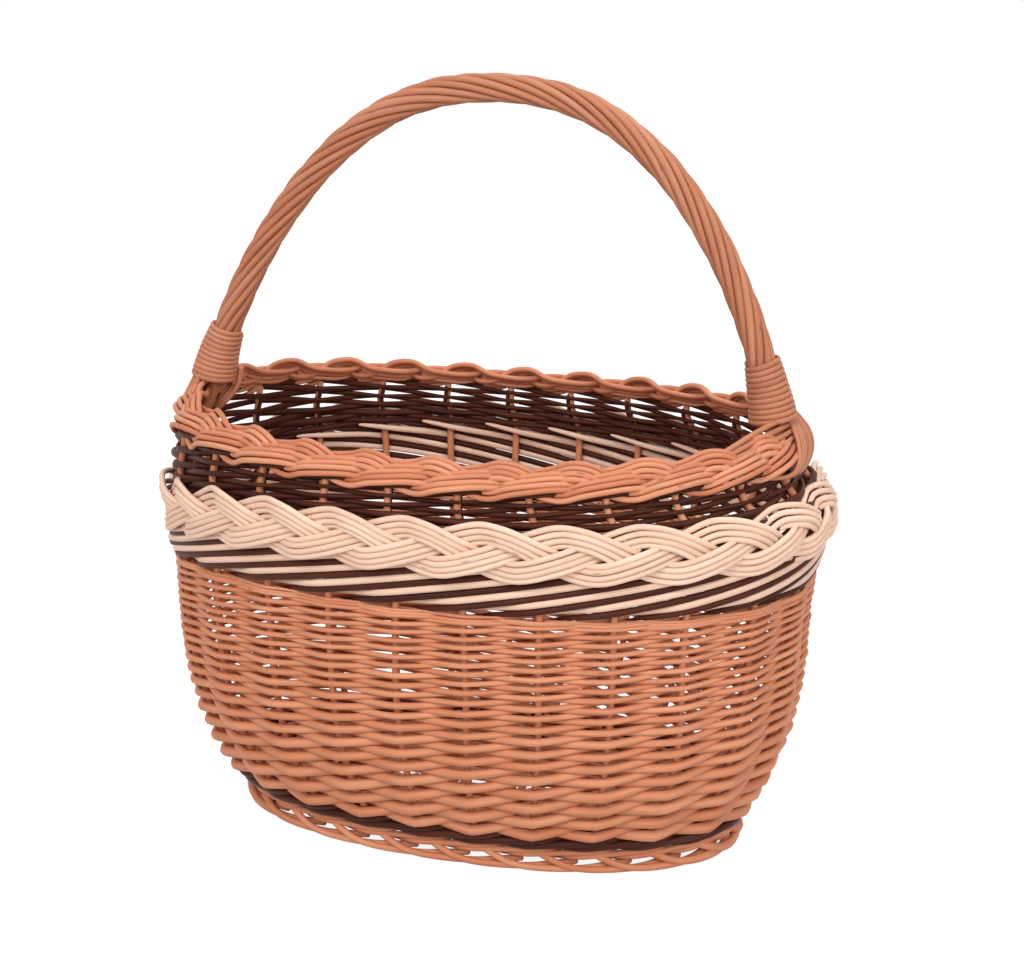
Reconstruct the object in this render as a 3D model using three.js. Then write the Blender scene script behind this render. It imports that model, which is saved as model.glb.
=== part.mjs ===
// Oval willow hand basket: a wall woven on upright stakes, a plaited belt and rim,
// and a fixed arch handle of rods twisted round a bent core and bound at both ends.
// Millimetres, +Z up, X along the long axis, origin on the floor under the middle.
import * as THREE from 'three';

// Plan and overall sizes
const BELT_LENGTH = 420;
const BELT_WIDTH = 270;
const FOOT_INSET_X = 49;
const FOOT_INSET_Y = 49;
const RIM_INSET_X = 12;
const RIM_INSET_Y = 10;
const PLAN_POWER = 2.2;
const END_RISE = 8;
const RISE_POWER = 8;
const SWELL = 2.8;

// Heights of the bands, from the floor up
const FOOT_HEIGHT = 13;
const UPSETT_HEIGHT = 8;
const SIDE_HEIGHT = 150;
const SLANT_HEIGHT = 25.5;
const DARK_HEIGHT = 41;
const RIM_HEIGHT = 24;
const BELT_HEIGHT = 35;

// Radial depths
const FOOT_DEPTH = 12;
const FOOT_LEDGE = 8;
const BELT_DEPTH = 10;
const RIM_DEPTH = 13;
const UPSETT_ROD = 4;
const SIDE_ROD = 3.2;
const SLANT_ROD = 5;
const DARK_ROD = 2.4;
const SIDE_CROWN = 1.2;
const DARK_CROWN = 0.3;
const UPSETT_CROWN = 1;

// Stakes and base
const STAKE_COUNT = 24;
const STAKE_D = 4.4;
const BASE_THICKNESS = 5;
const STICK_D = 6;
const STICK_INSET = 38;
const STICK_SPACING = 26;

// Handle
const HANDLE_TOP = 466;
const HANDLE_LEAN = 2;
const ARCH_POWER = 0.86;
const ARCH_RISE_POWER = 1.6;
const HANDLE_D = 17.5;
const CORE_D = 11;
const TUCK_DEPTH = 30;
const TUCK_OUT = 4;
const TWIST_TURNS = 2.5;
const TWIST_TAPER = 0.7;
const BINDING_ROD_D = 2.6;
const BINDING_GAP = 0.8;
const BINDING_FLARE = 2.5;
const TAIL_WIDTH = 16;
const TAIL_THICKNESS = 3.2;
const TAIL_DROP = 6;

// Counts
const SIDE_ROWS = 9;
const DARK_ROWS = 3;
const BELT_PERIODS = 8;
const RIM_PERIODS = 8;
const PLAIT_STRANDS = 3;
const TWIST_RODS = 6;
const BINDING_TURNS = 11;
const STICK_COUNT = 3;

// Clearances: between pieces laid one on another, and between weave and stake
const LAY_GAP = 0.4;
const WEAVE_GAP = 0.9;

const TAN = '#CF8463';
const CREAM = '#F3CBAE';
const DARK = '#4A281E';

// The belt is the widest part: foot and rim are set in from it at both ends and both sides
const footLength = BELT_LENGTH - 2 * FOOT_INSET_X;
const footWidth = BELT_WIDTH - 2 * FOOT_INSET_Y;
const rimLength = BELT_LENGTH - 2 * RIM_INSET_X;
const rimWidth = BELT_WIDTH - 2 * RIM_INSET_Y;
const stickLength = footLength - 2 * STICK_INSET;

const stakeRadius = STAKE_D / 2;
const coreRadius = CORE_D / 2;
const footTop = FOOT_HEIGHT;
const upsettBottom = footTop + LAY_GAP;
const sideBottom = upsettBottom + UPSETT_HEIGHT + LAY_GAP;
const sideTop = sideBottom + SIDE_HEIGHT;
const slantBottom = sideTop + LAY_GAP;
const slantTop = slantBottom + SLANT_HEIGHT;
const darkBottom = slantTop + LAY_GAP;
const darkTop = darkBottom + DARK_HEIGHT;
const rimBottom = darkTop + LAY_GAP;
const rimTop = rimBottom + RIM_HEIGHT;

// Outer face of a weave of the given rod, measured from the stake's centre line
function reach(rod) {
  return stakeRadius + WEAVE_GAP + rod;
}

// Semi-axes of the stake line at the foot, at the wall's fullest height and under the rim
const footLine = [footLength / 2 - reach(UPSETT_ROD), footWidth / 2 - reach(UPSETT_ROD)];
const beltSeat = BELT_DEPTH + LAY_GAP + reach(DARK_ROD);
const fullLine = [BELT_LENGTH / 2 - beltSeat, BELT_WIDTH / 2 - beltSeat];
const rimLine = [rimLength / 2 - RIM_DEPTH / 2, rimWidth / 2 - RIM_DEPTH / 2];

// The oval narrows to the foot along a swelling curve and draws in again to the rim
function wallAxes(z) {
  if (z <= sideTop) {
    const up = Math.max(0, (z - footTop) / (sideTop - footTop));
    const swell = 1 - (1 - up) ** SWELL;
    return footLine.map((low, i) => low + (fullLine[i] - low) * swell);
  }
  const up = (z - sideTop) / (darkTop - sideTop);
  return fullLine.map((low, i) => low + (rimLine[i] - low) * up * up);
}

// The rim rises towards the two ends of the oval, and what lies below it rises ever less
function rise(z) {
  return END_RISE * Math.max(0, z / rimTop) ** RISE_POWER;
}

function signedPower(v, p) {
  return Math.sign(v) * Math.abs(v) ** p;
}

// Point of an oval ring: angle, semi-axes, height and distance out along its normal
function ovalPoint(angle, axes, z, out) {
  const c = signedPower(Math.cos(angle), 2 / PLAN_POWER);
  const s = signedPower(Math.sin(angle), 2 / PLAN_POWER);
  const normal = new THREE.Vector2(
    signedPower(c, PLAN_POWER - 1) / axes[0],
    signedPower(s, PLAN_POWER - 1) / axes[1],
  ).normalize();
  return new THREE.Vector3(
    axes[0] * c + normal.x * out,
    axes[1] * s + normal.y * out,
    z + rise(z) * c * c,
  );
}

// Point on the wall, with the distance out taken square to the sloping stakes
function wallPoint(angle, z, out) {
  const step = 0.5;
  const below = ovalPoint(angle, wallAxes(z - step), z, 0);
  const above = ovalPoint(angle, wallAxes(z + step), z, 0);
  const slope = Math.hypot(above.x - below.x, above.y - below.y) / (2 * step);
  return ovalPoint(angle, wallAxes(z), z, out * Math.hypot(1, slope));
}

// Angles that cut the oval into equal arcs, the first one at its +X end
function equalArcs(count, axes) {
  const fine = 7200;
  const angles = Array.from({ length: fine + 1 }, (_, i) => (2 * Math.PI * i) / fine);
  const points = angles.map((angle) => ovalPoint(angle, axes, 0, 0));
  const run = [0];
  for (let i = 1; i <= fine; i += 1) {
    run.push(run[i - 1] + points[i].distanceTo(points[i - 1]));
  }
  const found = [];
  let at = 0;
  for (let k = 0; k < count; k += 1) {
    const goal = (run[fine] * k) / count;
    while (run[at + 1] < goal) {
      at += 1;
    }
    const part = (goal - run[at]) / (run[at + 1] - run[at]);
    found.push(angles[at] + part * (angles[at + 1] - angles[at]));
  }
  return found;
}

const basket = new THREE.Group();

// One closed body through a row of like sections; open rows get flat ends
function addSkin(name, colour, sections, closed) {
  const corners = sections[0].length;
  const points = sections.flat();
  const faces = [];
  const spans = closed ? sections.length : sections.length - 1;
  for (let i = 0; i < spans; i += 1) {
    const next = (i + 1) % sections.length;
    for (let k = 0; k < corners; k += 1) {
      const other = (k + 1) % corners;
      const a = i * corners + k;
      const b = next * corners + k;
      const c = next * corners + other;
      const d = i * corners + other;
      if (points[a].distanceTo(points[c]) < points[b].distanceTo(points[d])) {
        faces.push([a, b, c], [a, c, d]);
      } else {
        faces.push([a, b, d], [b, c, d]);
      }
    }
  }
  if (!closed) {
    const last = (sections.length - 1) * corners;
    for (let k = 1; k < corners - 1; k += 1) {
      faces.push([0, k, k + 1], [last, last + k + 1, last + k]);
    }
  }
  let volume = 0;
  for (const [a, b, c] of faces) {
    volume += points[a].dot(points[b].clone().cross(points[c]));
  }
  const outward = volume > 0 ? faces : faces.map(([a, b, c]) => [a, c, b]);
  const geometry = new THREE.BufferGeometry().setFromPoints(points);
  geometry.setIndex(outward.flat());
  geometry.computeVertexNormals();
  const material = new THREE.MeshStandardMaterial({ color: colour, roughness: 0.6, metalness: 0 });
  const mesh = new THREE.Mesh(geometry, material);
  mesh.name = name;
  basket.add(mesh);
}

// Round section of the given sides about a centre, in the plane of two unit directions
function roundSection(centre, u, v, radiusU, radiusV, sides) {
  return Array.from({ length: sides }, (_, k) => {
    const angle = (2 * Math.PI * (k + 0.5)) / sides;
    return centre.clone()
      .addScaledVector(u, radiusU * Math.cos(angle))
      .addScaledVector(v, radiusV * Math.sin(angle));
  });
}

// Stakes stand at every second station; the stations between lie midway, two at the ends
const stations = equalArcs(2 * STAKE_COUNT, fullLine);
const stakeAngles = stations.filter((_, i) => i % 2 === 1);

// Upright stakes, level at both ends
function addStakes() {
  const segments = 12;
  const sides = 5;
  stakeAngles.forEach((angle, j) => {
    const sections = [];
    for (let i = 0; i <= segments; i += 1) {
      const z = upsettBottom + ((darkTop - upsettBottom) * i) / segments;
      const centre = wallPoint(angle, z, 0);
      const outer = wallPoint(angle, z, stakeRadius);
      const u = outer.clone().sub(centre);
      const depth = u.length();
      u.normalize();
      const v = new THREE.Vector3(-u.y, u.x, 0);
      sections.push(roundSection(centre, u, v, depth, stakeRadius, sides));
    }
    addSkin(`stake_${String(j + 1).padStart(2, '0')}`, TAN, sections, false);
  });
}

// A woven row: outside one stake and inside the next, all the way round.
// Its face away from the stake is crowned, and midway between stakes both faces are.
function addWovenRow(name, colour, bottom, top, rod, crown, phase) {
  const swing = stakeRadius + WEAVE_GAP + rod / 2;
  const sections = stations.map((angle, i) => {
    const stake = (i - 1) / 2;
    const side = (stake + phase) % 2 === 0 ? 1 : -1;
    const middle = Number.isInteger(stake) ? side * swing : 0;
    const outerCrown = middle >= 0 ? crown : 0;
    const innerCrown = middle <= 0 ? crown : 0;
    const waist = (bottom + top) / 2;
    return [
      wallPoint(angle, bottom, middle + rod / 2),
      wallPoint(angle, waist, middle + rod / 2 + outerCrown),
      wallPoint(angle, top, middle + rod / 2),
      wallPoint(angle, top, middle - rod / 2),
      wallPoint(angle, waist, middle - rod / 2 - innerCrown),
      wallPoint(angle, bottom, middle - rod / 2),
    ];
  });
  addSkin(name, colour, sections, true);
}

// A band of equal rows, one above another, each opposite to the one below
function addWovenBand(prefix, colour, bottom, height, rows, rod, crown) {
  const rowHeight = (height - (rows - 1) * LAY_GAP) / rows;
  for (let i = 0; i < rows; i += 1) {
    const z = bottom + i * (rowHeight + LAY_GAP);
    addWovenRow(`${prefix}_${i + 1}`, colour, z, z + rowHeight, rod, crown, i);
  }
}

// The slanted rods pass outside the stakes and form one band round the wall
function addSlantedBand() {
  const inner = stakeRadius + WEAVE_GAP;
  const outer = inner + SLANT_ROD;
  const sections = stations.map((angle) => [
    wallPoint(angle, slantBottom, outer),
    wallPoint(angle, slantTop, outer),
    wallPoint(angle, slantTop, inner),
    wallPoint(angle, slantBottom, inner),
  ]);
  addSkin('slanted_band', CREAM, sections, true);
}

// Three strands that change over between three lanes in height and three in depth
function addPlait(prefix, colour, length, width, bottom, height, depth, periods) {
  const laneRise = (height + LAY_GAP) / 3;
  const laneDepth = (depth + LAY_GAP) / 3;
  const halfHigh = (laneRise - LAY_GAP) / 2;
  const halfDeep = (laneDepth - LAY_GAP) / 2;
  const axes = [length / 2 - depth / 2, width / 2 - depth / 2];
  const lanes = [0, 1, 1, 0, -1, -1];
  const layers = [0, 1, -1, 0, 1, -1];
  const steps = lanes.length;
  const arcs = equalArcs(periods * steps, axes);
  const middle = bottom + height / 2;
  for (let strand = 0; strand < PLAIT_STRANDS; strand += 1) {
    const lead = (strand * steps) / PLAIT_STRANDS;
    const sections = arcs.map((angle, i) => {
      const at = (i + lead) % steps;
      const z = middle + lanes[at] * laneRise;
      const out = layers[at] * laneDepth;
      return [
        ovalPoint(angle, axes, z - halfHigh, out + halfDeep),
        ovalPoint(angle, axes, z + halfHigh, out + halfDeep),
        ovalPoint(angle, axes, z + halfHigh, out - halfDeep),
        ovalPoint(angle, axes, z - halfHigh, out - halfDeep),
      ];
    });
    addSkin(`${prefix}_${strand + 1}`, colour, sections, true);
  }
}

// Border that the basket stands on; its top reaches inwards to carry the base
function addFoot() {
  const axes = [footLength / 2, footWidth / 2];
  const sections = stations.map((angle) => {
    const section = [
      ovalPoint(angle, axes, 0, 0),
      ovalPoint(angle, axes, footTop, 0),
      ovalPoint(angle, axes, footTop, -FOOT_DEPTH - FOOT_LEDGE),
      ovalPoint(angle, axes, 0, -FOOT_DEPTH),
    ];
    section[1].z = footTop;
    section[2].z = footTop;
    return section;
  });
  addSkin('foot_border', TAN, sections, true);
}

// Woven oval bottom and the long sticks that it is woven on
function addBase() {
  const inset = reach(UPSETT_ROD) + LAY_GAP;
  const bottom = footTop + LAY_GAP;
  const top = bottom + BASE_THICKNESS;
  const level = (z) => stations.map((angle) => wallPoint(angle, upsettBottom, -inset).setZ(z));
  addSkin('base_weave', TAN, [level(bottom), level(top)], false);
  const z = top + LAY_GAP + STICK_D / 2;
  const across = new THREE.Vector3(0, 1, 0);
  const up = new THREE.Vector3(0, 0, 1);
  for (let i = 0; i < STICK_COUNT; i += 1) {
    const y = (i - (STICK_COUNT - 1) / 2) * STICK_SPACING;
    const ends = [-1, 1].map((side) => new THREE.Vector3((side * stickLength) / 2, y, z));
    const sections = ends.map((end) => roundSection(end, across, up, STICK_D / 2, STICK_D / 2, 8));
    addSkin(`base_stick_${i + 1}`, TAN, sections, false);
  }
}

// Handle line: an arch with splayed legs that springs beside the rim's inner face and leans a little to +X
const handleX = rimLength / 2 - RIM_DEPTH - LAY_GAP - coreRadius;
const springZ = rimTop + END_RISE;
const crownZ = HANDLE_TOP - HANDLE_D / 2;
const footZ = springZ + LAY_GAP;

// Line of the binding rod about the handle, and how far its lowest turn reaches
const bindingSteps = 14;
const windRadius = (HANDLE_D / 2 + LAY_GAP + BINDING_ROD_D / 2) / Math.cos(Math.PI / bindingSteps);
const bindingReach = windRadius + BINDING_FLARE + BINDING_ROD_D / 2;

function archPoint(angle) {
  const up = Math.sin(angle) ** ARCH_RISE_POWER;
  const x = handleX * signedPower(Math.cos(angle), ARCH_POWER) + HANDLE_LEAN * up * up;
  return new THREE.Vector3(x, 0, springZ + (crownZ - springZ) * up);
}

// Centre, and two directions square to the arch: outwards in its plane, and across it
function archFrame(angle) {
  const step = 1e-4;
  const tangent = archPoint(angle + step).sub(archPoint(angle - step)).normalize();
  const across = new THREE.Vector3(0, 1, 0);
  const outward = across.clone().cross(tangent).normalize();
  return { centre: archPoint(angle), tangent, outward, across };
}

// Angle of the arch at a height on its +X side
function archAngle(z) {
  return Math.asin(((z - springZ) / (crownZ - springZ)) ** (1 / ARCH_RISE_POWER));
}

// Bent core: down inside the rim at both ends, then out along the wall
function addCore() {
  const sides = 8;
  const arcSteps = 28;
  const across = new THREE.Vector3(0, 1, 0);
  const foot = [
    [handleX + TUCK_OUT, rimBottom - TUCK_DEPTH],
    [handleX + TUCK_OUT / 2, rimBottom - TUCK_DEPTH / 2],
    [handleX, rimBottom - LAY_GAP],
  ];
  const right = foot.map(([x, z]) => new THREE.Vector3(x, 0, z));
  const arch = Array.from({ length: arcSteps + 1 }, (_, i) => archPoint((Math.PI * i) / arcSteps));
  const left = foot.map(([x, z]) => new THREE.Vector3(-x, 0, z)).reverse();
  const line = [...right, ...arch, ...left];
  const sections = line.map((centre, i) => {
    const before = line[Math.max(0, i - 1)];
    const after = line[Math.min(line.length - 1, i + 1)];
    const tangent = after.clone().sub(before).normalize();
    const outward = across.clone().cross(tangent).normalize();
    return roundSection(centre, outward, across, coreRadius, coreRadius, sides);
  });
  addSkin('handle_core', TAN, sections, false);
}

// Rods twisted right-handed round the core from one binding to the other
function addTwist() {
  const steps = 40;
  const share = Math.PI / TWIST_RODS;
  const innerFace = coreRadius + LAY_GAP;
  const innerHalf = innerFace * Math.tan(share) - LAY_GAP;
  const outerHalf = innerHalf * TWIST_TAPER;
  const outerFace = Math.sqrt((HANDLE_D / 2) ** 2 - outerHalf ** 2);
  const first = archAngle(footZ);
  for (let rod = 0; rod < TWIST_RODS; rod += 1) {
    const sections = [];
    for (let i = 0; i <= steps; i += 1) {
      const frame = archFrame(first + ((Math.PI - 2 * first) * i) / steps);
      const turn = 2 * Math.PI * (rod / TWIST_RODS + (TWIST_TURNS * i) / steps);
      const out = frame.outward.clone().multiplyScalar(Math.cos(turn))
        .addScaledVector(frame.across, Math.sin(turn));
      const along = frame.tangent.clone().cross(out).normalize();
      const corner = (depth, half) => frame.centre.clone()
        .addScaledVector(out, depth)
        .addScaledVector(along, half);
      sections.push([
        corner(innerFace, -innerHalf),
        corner(outerFace, -outerHalf),
        corner(outerFace, outerHalf),
        corner(innerFace, innerHalf),
      ]);
    }
    addSkin(`handle_rod_${rod + 1}`, TAN, sections, false);
  }
}

// One thin rod wound upwards round the handle's foot, with straight ends on the inside of the arch
function addBinding(name, mirrored) {
  const steps = bindingSteps;
  const sides = 5;
  const rodRadius = BINDING_ROD_D / 2;
  const pitch = BINDING_ROD_D + BINDING_GAP;
  const bottom = footZ + rodRadius;
  const count = BINDING_TURNS * steps;
  const line = [];
  for (let i = 0; i <= count; i += 1) {
    const angle = archAngle(bottom + (pitch * i) / steps);
    const frame = archFrame(mirrored ? Math.PI - angle : angle);
    const turn = Math.PI + (2 * Math.PI * i) / steps;
    const radius = windRadius + BINDING_FLARE * (1 - i / count);
    line.push(frame.centre.clone()
      .addScaledVector(frame.outward, radius * Math.cos(turn))
      .addScaledVector(frame.across, radius * Math.sin(turn)));
  }
  let least = Infinity;
  for (let i = 0; i < line.length; i += 1) {
    for (let k = i + Math.ceil(steps / 2); k < line.length; k += 1) {
      least = Math.min(least, line[i].distanceTo(line[k]) - BINDING_ROD_D);
    }
  }
  console.log(`${name}: least gap to itself ${least.toFixed(2)} mm`);
  const straight = (from, to) => to.clone()
    .addScaledVector(to.clone().sub(from).normalize(), BINDING_ROD_D);
  line.unshift(straight(line[1], line[0]));
  line.push(straight(line[line.length - 2], line[line.length - 1]));
  const up = new THREE.Vector3(0, 0, 1);
  const sections = line.map((centre, i) => {
    const before = line[Math.max(0, i - 1)];
    const after = line[Math.min(line.length - 1, i + 1)];
    const tangent = after.clone().sub(before).normalize();
    const u = tangent.clone().cross(up).normalize();
    const v = u.clone().cross(tangent);
    return roundSection(centre, u, v, rodRadius, rodRadius, sides);
  });
  addSkin(name, TAN, sections, false);
}

// Flat group of handle rods that leaves the binding's lowest turn and runs down outside the rim
function addTail(name, side) {
  const half = TAIL_THICKNESS / 2;
  const middle = footZ + half;
  const start = handleX + bindingReach + LAY_GAP;
  const outside = rimLength / 2 + LAY_GAP + half;
  const end = rimBottom + rise(rimBottom) - TAIL_DROP;
  const line = [
    { x: start, z: middle, nx: 0, nz: 1 },
    { x: outside, z: middle, nx: 1, nz: 1 },
    { x: outside, z: end, nx: 1, nz: 0 },
  ];
  const sections = line.map(({ x, z, nx, nz }) => {
    const at = (y, off) => new THREE.Vector3(side * (x + nx * off), y, z + nz * off);
    return [
      at(-TAIL_WIDTH / 2, half),
      at(TAIL_WIDTH / 2, half),
      at(TAIL_WIDTH / 2, -half),
      at(-TAIL_WIDTH / 2, -half),
    ];
  });
  addSkin(name, TAN, sections, false);
}

addFoot();
addBase();
addStakes();
addWovenRow('upsett_ring', DARK, upsettBottom, upsettBottom + UPSETT_HEIGHT, UPSETT_ROD, UPSETT_CROWN, 1);
addWovenBand('side_weave', TAN, sideBottom, SIDE_HEIGHT, SIDE_ROWS, SIDE_ROD, SIDE_CROWN);
addSlantedBand();
addWovenBand('dark_weave', DARK, darkBottom, DARK_HEIGHT, DARK_ROWS, DARK_ROD, DARK_CROWN);
addPlait('belt_strand', CREAM, BELT_LENGTH, BELT_WIDTH, darkBottom, BELT_HEIGHT, BELT_DEPTH, BELT_PERIODS);
addPlait('rim_strand', TAN, rimLength, rimWidth, rimBottom, RIM_HEIGHT, RIM_DEPTH, RIM_PERIODS);
addCore();
addTwist();
addBinding('binding_right', false);
addBinding('binding_left', true);
addTail('handle_tail_right', 1);
addTail('handle_tail_left', -1);

export default basket;
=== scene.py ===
"""Looks of an oval willow hand basket, laid up rod by rod around its solid model.

Lengths are in millimetres until a mesh is written, in metres. +Z is up, X runs along the
oval, and stakes are counted from the +X end, anticlockwise from above, so that a growing
stake number runs to the right on the front of the basket.
"""
import math
from collections import namedtuple

import bpy
import numpy as np
from mathutils import Matrix, Vector


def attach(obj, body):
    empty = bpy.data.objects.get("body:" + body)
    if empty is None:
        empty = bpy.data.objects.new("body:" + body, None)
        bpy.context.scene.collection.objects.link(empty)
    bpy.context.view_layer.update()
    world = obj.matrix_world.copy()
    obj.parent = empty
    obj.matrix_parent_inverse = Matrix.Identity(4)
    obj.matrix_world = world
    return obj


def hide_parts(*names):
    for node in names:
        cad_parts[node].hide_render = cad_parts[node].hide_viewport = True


MM = 0.001
TURN = 2 * np.pi
UP = np.array([0, 0, 1.0])
rng = np.random.default_rng(417)

# Wall: semi-axes of the line of the stakes at the foot, where it is fullest and at the rim
STAKES = 24
STAKE_R = 2.2
STAKE_REACH = (11.5, 246.5)
PLAN_POWER = 2.2
FOOT_LINE = (153.9, 78.9)
FULL_LINE = (194.1, 119.1)
RIM_LINE = (188.5, 116.5)
FOOT_TOP = 13.0
SIDE_TOP = 171.8
DARK_TOP = 239.1
RIM_TOP = 263.5
SWELL_POWER = 2.8
CLOSING_POWER = 10
END_BULGE = (5.5, 0.0)
BULGE_REACH = (180.0, 250.0)
END_RISE = 8.0
RISE_POWER = 8
SLOPE_SHARE = 0.3
LAP_POINTS = 7201

# Plaits: semi-axes and height of the middle line, how far the rim's face leans back, and the
# shape that both share
BELT_LINE = (205.0, 130.0)
BELT_MIDDLE = 215.6
BORDER_LINE = (186.8, 114.3)
BORDER_MIDDLE = 253.3
BORDER_TILT = math.radians(50)
PLAIT_REPEATS = STAKES // 3
PLAIT_POINTS = 44 * PLAIT_REPEATS
STRAND_RODS = 4
PLAIT_LEAN = 0.35
TURNOVER = 1.4
STRAND_CROWN = 0.9
PLAIT_DRIFT = 0.12
PLAIT_DRIFT_ROWS = 60
PLAIT_VARIETY = 0.08

# Hand work: the bands sag at the -X end, the top stands to -X, and each end spreads by height
LEFT_DROP = 24.0
SAG_POWER = 4
SAG_HEIGHTS = [20, SIDE_TOP, BELT_MIDDLE - 11, BELT_MIDDLE + 12, DARK_TOP + 10]
SAG_SHARES = [0, 0.38, 1, 1, 0]
RIM_SHIFT = -3.8
SHIFT_REACH = (218.0, 234.0)
LEFT_HEIGHTS = [10, 20, 32, 186, 203, 231, 237, 246, 262]
LEFT_SPREAD = [0, 4, 5, 6.5, 0, 0, 5, 4, 0]
RIGHT_HEIGHTS = [150, 172, 222, 232, 240, 248]
RIGHT_SPREAD = [0, 2.6, 2.6, -2.5, -2.5, 0]
DRIFT_PACE = np.array([0.35, 0.9, 1.7])
DRIFT_SHARE = np.array([1.0, 0.7, 0.45])
GIRTH_DRIFT = 0.05
SWING_DRIFT = 0.03
STAKE_DRIFT = 0.02
STAKE_DRIFT_PITCH = 30

# Weave: how near a rod's swing comes to a zigzag, how closely it lies on a stake as a share
# of its radius, and how tall it may grow
ZIGZAG = 0.98
CLOSENESS = 0.98
TALLEST = 1.6
POINTS_IN_ROW = 8

# Side weave: heights of its first two rows, the step between rows at the top and what the
# lowest row adds to it, the row where half of that is left, and the rows of tips
SIDE_ROWS = (-1, 43)
SIDE_FROM = (27.2, 28.6)
TOP_STEP = 2.2
EXTRA_STEP = 3.4
HALF_WAY_ROW = 14
STEP_POWER = 2.4
RADIUS_TO_STEP = 0.6
TIP_ROWS = [38, 42, 43]
TIP_RADII = [1.4, 1.0, 0.5]
TIP_STEP = 0.8

# Dark band: its rows, the rows between which it changes, and the liners inside the stakes, dark rods that
# paint the shade on the stakes' inner faces
DARK_ROWS = 12
DARK_FROM = 219.5
DARK_STEP = 2.65
DARK_CHANGE = [4, 6]
DARK_RADII = [1.95, 1.15]
DARK_SQUEEZE = [0.15, -0.25]
LINER_REACH = (217.0, 244.0)
LINER_IN = 2.6
LINER_R = 1.3

# Wales: where a rod starts in stakes, where it begins to taper, and how flat it lies
WALE_START = -0.4
WALE_POINTS = 16
TAPER_FROM = 0.2
TAPER_POWER = 0.4
WALE_FLATNESS = 0.92
WALE_DRIFT = 0.03

# Foot border: one rod as stakes passed, height and distance out, and its radius
FOOT_STAKES = [-0.25, 0.0, 0.18, 0.42, 0.66, 1.0, 1.5, 2.0, 2.4, 2.8]
FOOT_HEIGHTS = [13.6, 12.6, 10.4, 7.0, 4.2, 2.7, 2.3, 2.5, 3.5, 4.6]
FOOT_OUT = [-1.0, 1.4, 3.8, 5.4, 6.2, 6.2, 5.4, 3.4, 0.6, -1.6]
FOOT_ROD_R = 2.12
FOOT_SWELL = 0.75
FOOT_SWELL_POWER = 6

# Base: height of the mat's middle, semi-axes of its outer ring and of the spokes' ends, rods as
# half width and half thickness, and the sticks
BASE_Z = 15.8
BASE_RINGS = 18
BASE_PITCH = 3.9
BASE_RING = (147.9, 75.9)
BASE_WAVE = 1.5
BASE_ROD = (2.2, 1.6)
SPOKES_FROM = (76.0, 4.0)
SPOKES_TO = (151.0, 79.0)
SPOKE_ROD = (2.0, 1.4)
EDGE_HEIGHTS = (18.0, 20.6, 23.2)
EDGE_INSET = 1.5
EDGE_R = 1.6
STICK_HALF = 120
STICK_APART = 26.0
STICK_Z = 20.6
STICK_DROP = 1.2
STICK_R = 2.9
SHORT_STICKS = 7
SHORT_REACH = 66
SHORT_HALF = 10
SHORT_Z = 16.5
SHORT_R = 2.2

# Handle: an arch from foot to foot, its twist and the windings at its feet
HANDLE_X = 178.5
SPRING_Z = 266.0
CROWN_Z = 457.25
FOOT_SHIFT = -5.4
HANDLE_LEAN = 10.0
ARCH_POWER = 0.873
RISE_SHAPE = 1.538
HANDLE_R = 8.75
HANDLE_RODS = 9
HANDLE_ROD_R = 2.22
HANDLE_TURNS = 3.2
HANDLE_POINTS = 260
HANDLE_DRIFT = 0.12
TWIST_FROM = 271.0
CORE_FROM = 275.0
CORE_HEIGHTS = [225.0, 270.0]
CORE_RADII = [1.9, 4.8]
BINDING_REACH = {1: (271.5, 306.0), -1: (268.5, 301.5)}
BINDING_TURNS = 11
BINDING_SEAT = 0.9
BINDING_FLARE = 4.1
FLARE_POWER = 0.9
BINDING_RIPPLE = 0.15
RIPPLES_IN_TURN = 3.1
BINDING_ROD = (1.72, 1.05)
TAIL_HEART_X = 130.0
TAIL_HEART_Z = 250.0

# Rods: sides of a section, a cut end as shares of the radius, and how far apart along the
# grain two rods may start
SECTION_SIDES = 8
END_LENGTH = 0.5
END_RADIUS = 0.62
GRAIN_SPREAD = 900
Rods = namedtuple("Rods", "corners quads ends quad_run end_run shade")

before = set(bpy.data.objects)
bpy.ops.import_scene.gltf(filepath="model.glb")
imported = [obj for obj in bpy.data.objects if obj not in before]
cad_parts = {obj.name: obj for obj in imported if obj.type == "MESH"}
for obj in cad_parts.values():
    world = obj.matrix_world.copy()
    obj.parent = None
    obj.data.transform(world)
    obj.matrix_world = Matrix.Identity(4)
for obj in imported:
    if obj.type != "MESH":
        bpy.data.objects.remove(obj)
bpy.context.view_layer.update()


# Shapes

def unit(v):
    """Vectors divided by their own length."""
    return v / np.linalg.norm(v, axis=-1, keepdims=True)


def signed_power(v, power):
    """A power of the size of a number that keeps the number's sign."""
    return np.sign(v) * np.abs(v) ** power


def part_way(value, start, end):
    """How far a value has come from start to end, held between nought and one."""
    return np.clip((value - start) / (end - start), 0, 1)


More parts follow.
